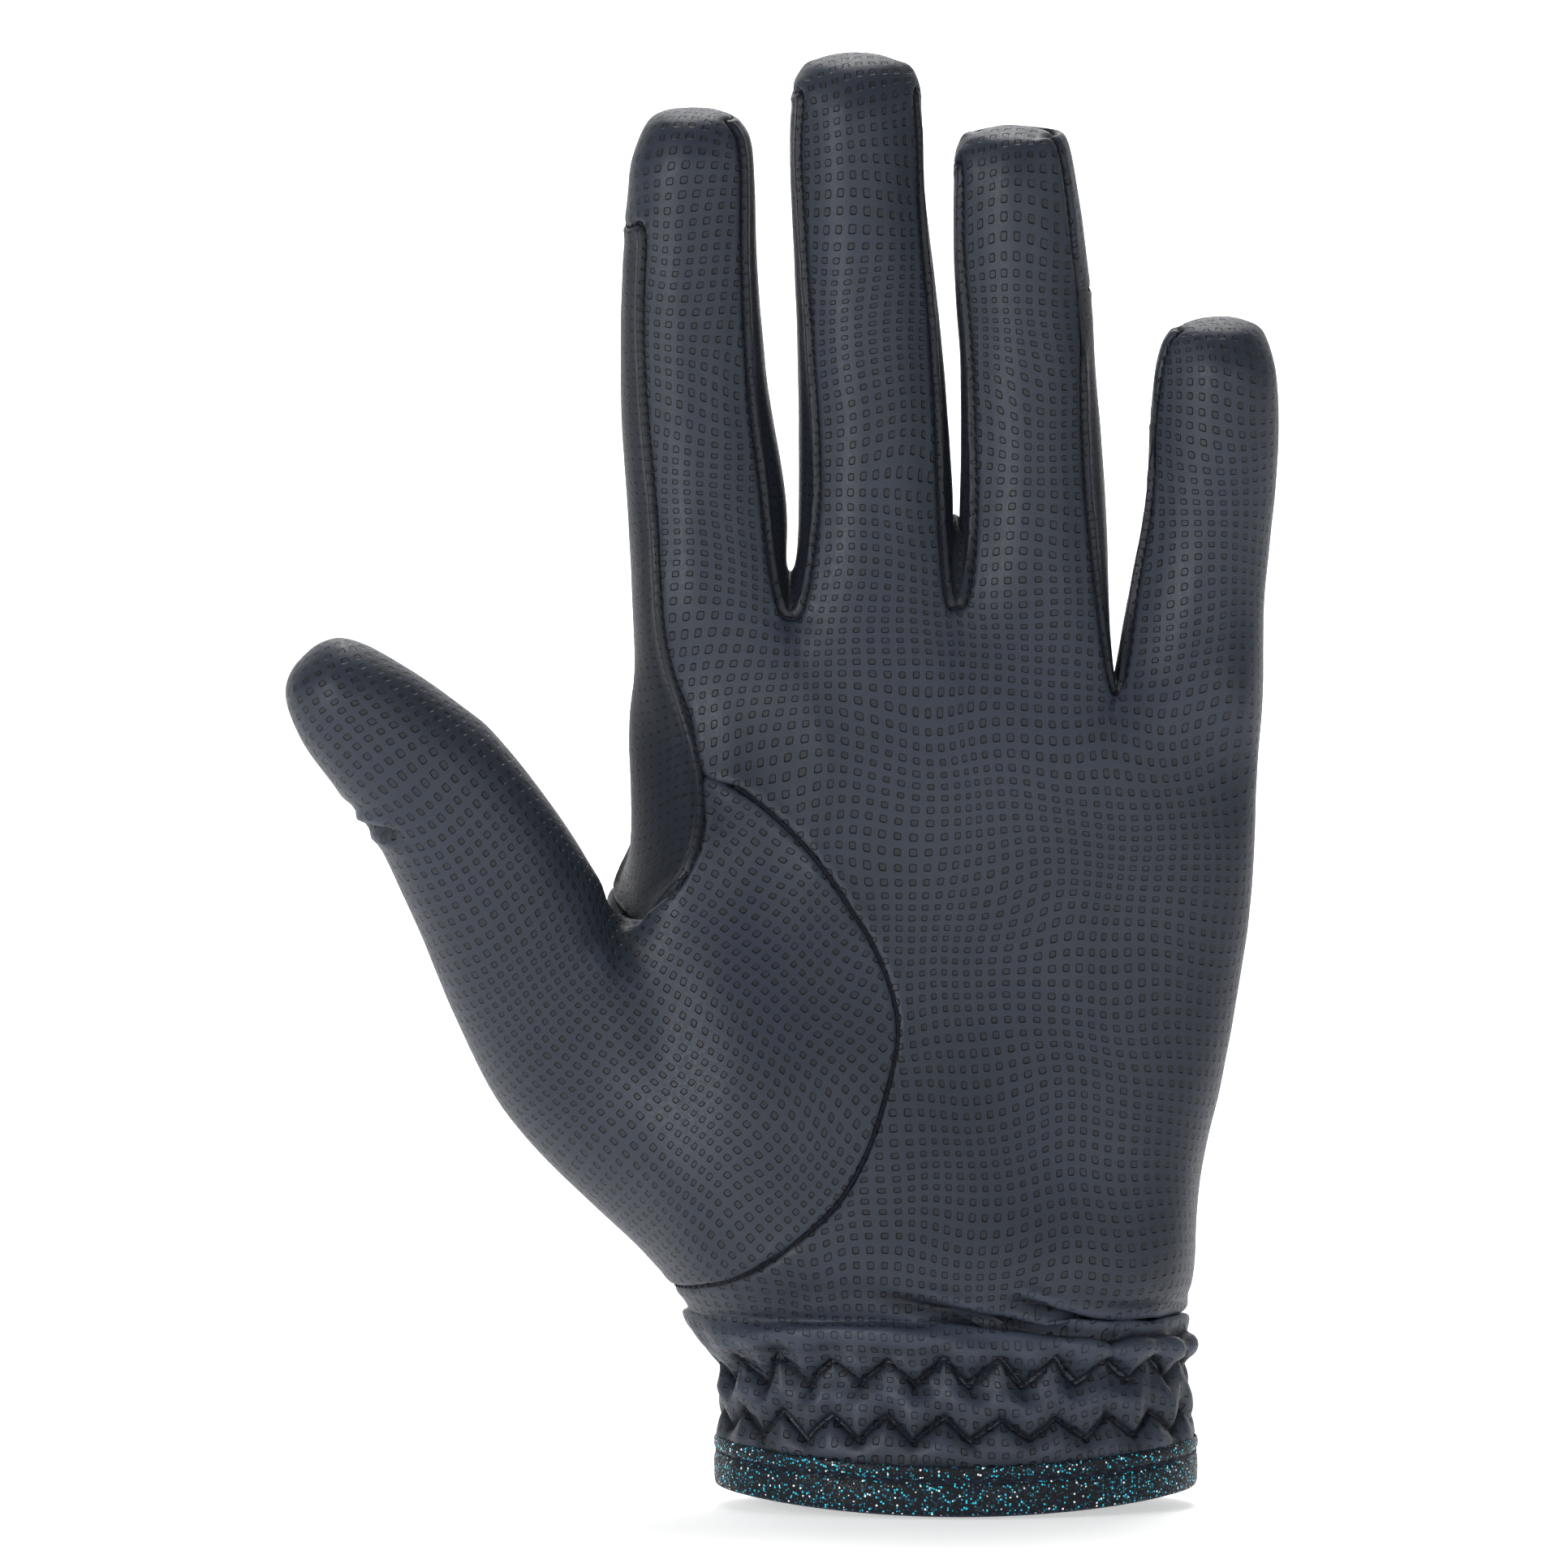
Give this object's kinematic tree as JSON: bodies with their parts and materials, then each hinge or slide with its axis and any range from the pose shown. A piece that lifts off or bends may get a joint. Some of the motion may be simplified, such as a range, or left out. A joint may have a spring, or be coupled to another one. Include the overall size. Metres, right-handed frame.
{
  "type": "riding glove",
  "caption": "Left-hand riding glove in its worn form: open wrist, gathered cuff with a glitter-bound hem, four fingers, set-in thumb and gusseted finger sides.",
  "frame": {"origin": "middle of the wrist opening, where the hand goes in, level with the lowest point of the hem", "axes": "+Z from the wrist to the fingertips, +X towards the little finger, -Y out of the palm"},
  "size_m": [0.1453, 0.0559, 0.2136],
  "materials": {
    "leather": "dark slate-blue synthetic leather, matt, embossed with small square dimples",
    "gusset_leather": "the same leather, darker, softer and matt",
    "glitter_binding": "near-black tape with blue, turquoise and white glitter"
  },
  "bodies": {
    "root": {"palm": "leather", "back": "leather", "thumb": "leather", "index_side": "gusset_leather", "gusset_index_middle": "gusset_leather", "gusset_middle_ring": "gusset_leather", "gusset_ring_little": "gusset_leather", "hem_binding": "glitter_binding"}
  },
  "joints": []
}
